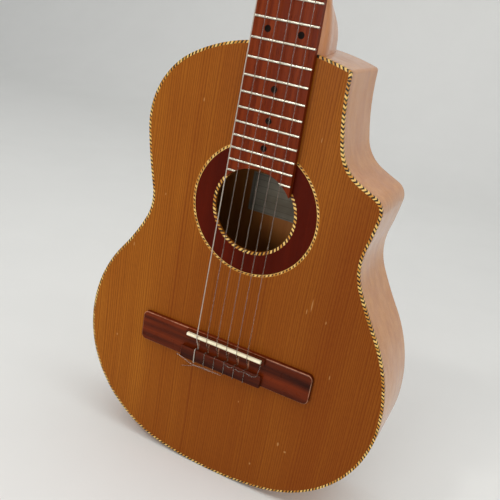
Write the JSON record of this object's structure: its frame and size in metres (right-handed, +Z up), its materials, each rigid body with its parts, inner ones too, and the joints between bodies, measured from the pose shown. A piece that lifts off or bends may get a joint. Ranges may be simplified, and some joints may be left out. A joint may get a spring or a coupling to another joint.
{
  "type": "six-string cutaway charango",
  "caption": "Small cutaway guitar-bodied charango: flat soundboard with round rosette, tie bridge, fretted neck and slotted headstock with geared tuners.",
  "frame": {"origin": "tail end of the body, in the middle of its width and depth, where a stand's cradle carries it", "axes": "+Z up along the neck, -Y out of the soundboard, +X to the cutaway side"},
  "size_m": [0.3008, 0.0854, 0.8208],
  "materials": {
    "soundboard_cedar": "satin varnish, straight fine grain",
    "rope_inlay": "satin varnish, slanted light and dark strips",
    "rib_wood": "satin varnish",
    "inner_wood": "raw, sanded",
    "rosewood": "gloss varnish",
    "fingerboard_wood": "oiled",
    "fret_silver": "polished",
    "black_dot": "gloss",
    "bone": "polished bone",
    "nylon": "clear nylon",
    "paper": "matt paper",
    "plate_metal": "lightly worn",
    "steel": "satin",
    "roller_white": "satin",
    "button_pearl": "pearl gloss"
  },
  "bodies": {
    "instrument": {"back": "rib_wood", "back_bars": "inner_wood", "bridge": "rosewood", "fingerboard": "fingerboard_wood", "fret_markers": "black_dot", "frets": "fret_silver", "head_veneer": "rosewood", "headstock": "rib_wood", "linings": "inner_wood", "neck": "rib_wood", "neck_block": "inner_wood", "nut": "bone", "paper_label": "paper", "plate_screws": "steel", "rib_bass": "rib_wood", "rib_cutaway": "rib_wood", "rope_edging": "rope_inlay", "rosette_ring": "rosewood", "rosette_rope_inner": "rope_inlay", "rosette_rope_outer": "rope_inlay", "saddle": "bone", "soundboard": "soundboard_cedar", "string_1": "nylon", "string_2": "nylon", "string_3": "nylon", "string_4": "nylon", "string_5": "nylon", "string_6": "nylon", "tail_block": "inner_wood", "top_braces": "inner_wood", "tuner_plate_bass": "plate_metal", "tuner_plate_cutaway": "plate_metal"},
    "tuner_key_1": {"worm_1": "steel", "button_1": "button_pearl"},
    "string_post_1": {"roller_1": "roller_white", "gear_1": "plate_metal"},
    "tuner_key_2": {"worm_2": "steel", "button_2": "button_pearl"},
    "string_post_2": {"roller_2": "roller_white", "gear_2": "plate_metal"},
    "tuner_key_3": {"worm_3": "steel", "button_3": "button_pearl"},
    "string_post_3": {"roller_3": "roller_white", "gear_3": "plate_metal"},
    "tuner_key_4": {"worm_4": "steel", "button_4": "button_pearl"},
    "string_post_4": {"roller_4": "roller_white", "gear_4": "plate_metal"},
    "tuner_key_5": {"worm_5": "steel", "button_5": "button_pearl"},
    "string_post_5": {"roller_5": "roller_white", "gear_5": "plate_metal"},
    "tuner_key_6": {"worm_6": "steel", "button_6": "button_pearl"},
    "string_post_6": {"roller_6": "roller_white", "gear_6": "plate_metal"}
  },
  "joints": [
    {"name": "key_1_turn", "type": "hinge", "parent": "instrument", "child": "tuner_key_1", "pos_m": [-0.0339, -0.02352, 0.7031], "axis": [0, -0.9744, 0.225], "continuous": true},
    {"name": "post_1_turn", "type": "hinge", "parent": "instrument", "child": "string_post_1", "pos_m": [-0.0114, -0.02187, 0.71247], "axis": [-1, 0, 0], "continuous": true},
    {"name": "key_2_turn", "type": "hinge", "parent": "instrument", "child": "tuner_key_2", "pos_m": [-0.0339, -0.01587, 0.73623], "axis": [0, -0.9744, 0.225], "continuous": true},
    {"name": "post_2_turn", "type": "hinge", "parent": "instrument", "child": "string_post_2", "pos_m": [-0.0114, -0.01422, 0.74559], "axis": [-1, 0, 0], "continuous": true},
    {"name": "key_3_turn", "type": "hinge", "parent": "instrument", "child": "tuner_key_3", "pos_m": [-0.0339, -0.00822, 0.76935], "axis": [0, -0.9744, 0.225], "continuous": true},
    {"name": "post_3_turn", "type": "hinge", "parent": "instrument", "child": "string_post_3", "pos_m": [-0.0114, -0.00657, 0.77872], "axis": [-1, 0, 0], "continuous": true},
    {"name": "key_4_turn", "type": "hinge", "parent": "instrument", "child": "tuner_key_4", "pos_m": [0.0391, -0.00822, 0.76935], "axis": [0, -0.9744, 0.225], "continuous": true},
    {"name": "post_4_turn", "type": "hinge", "parent": "instrument", "child": "string_post_4", "pos_m": [0.0166, -0.00657, 0.77872], "axis": [1, 0, 0], "continuous": true},
    {"name": "key_5_turn", "type": "hinge", "parent": "instrument", "child": "tuner_key_5", "pos_m": [0.0391, -0.01587, 0.73623], "axis": [0, -0.9744, 0.225], "continuous": true},
    {"name": "post_5_turn", "type": "hinge", "parent": "instrument", "child": "string_post_5", "pos_m": [0.0166, -0.01422, 0.74559], "axis": [1, 0, 0], "continuous": true},
    {"name": "key_6_turn", "type": "hinge", "parent": "instrument", "child": "tuner_key_6", "pos_m": [0.0391, -0.02352, 0.7031], "axis": [0, -0.9744, 0.225], "continuous": true},
    {"name": "post_6_turn", "type": "hinge", "parent": "instrument", "child": "string_post_6", "pos_m": [0.0166, -0.02187, 0.71247], "axis": [1, 0, 0], "continuous": true}
  ],
  "couplings": [
    {"joint": "post_1_turn", "follows": "key_1_turn", "ratio": -0.071429},
    {"joint": "post_2_turn", "follows": "key_2_turn", "ratio": -0.071429},
    {"joint": "post_3_turn", "follows": "key_3_turn", "ratio": -0.071429},
    {"joint": "post_4_turn", "follows": "key_4_turn", "ratio": 0.071429},
    {"joint": "post_5_turn", "follows": "key_5_turn", "ratio": 0.071429},
    {"joint": "post_6_turn", "follows": "key_6_turn", "ratio": 0.071429}
  ]
}
